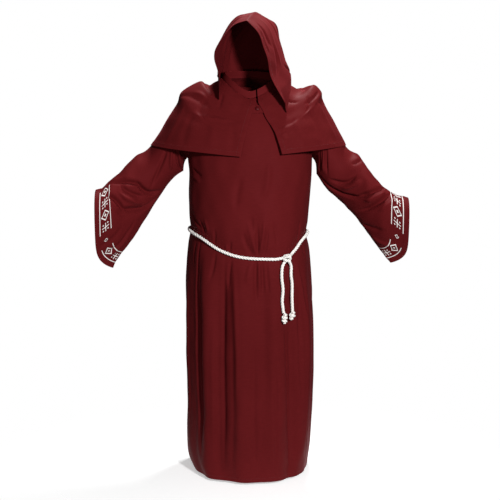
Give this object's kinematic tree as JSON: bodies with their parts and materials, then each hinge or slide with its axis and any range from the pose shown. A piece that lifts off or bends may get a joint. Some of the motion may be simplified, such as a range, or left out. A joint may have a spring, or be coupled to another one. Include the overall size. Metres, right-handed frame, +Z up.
{
  "type": "monk costume",
  "caption": "Full-length hooded robe with bell sleeves, a shoulder cape with its hood up, and a knotted rope belt, held open as if worn.",
  "frame": {"origin": "between the shoulders, where the wearer carries the garment, 1.5 m above the floor the wearer stands on", "axes": "+Z up, the front faces -Y, +X towards the sleeve on the right as seen from the front"},
  "size_m": [1.189, 0.4241, 1.8066],
  "materials": {
    "maroon_cloth": "plain polyester crepe, soft low sheen, dark maroon",
    "button": "cloth-covered dome button, slight gloss",
    "rope": "twisted off-white cotton rope, matt"
  },
  "bodies": {
    "root": {"robe_front": "maroon_cloth", "robe_back": "maroon_cloth", "sleeve_left": "maroon_cloth", "sleeve_right": "maroon_cloth", "cape_front_left": "maroon_cloth", "cape_back": "maroon_cloth", "cape_front_right": "maroon_cloth", "neckband": "maroon_cloth", "hood_left": "maroon_cloth", "hood_right": "maroon_cloth", "closure_tab": "maroon_cloth", "button": "button", "rope_belt": "rope", "belt_knot": "rope", "rope_tail_left": "rope", "tail_knot_left": "rope", "rope_tail_right": "rope", "tail_knot_right": "rope"}
  },
  "joints": []
}
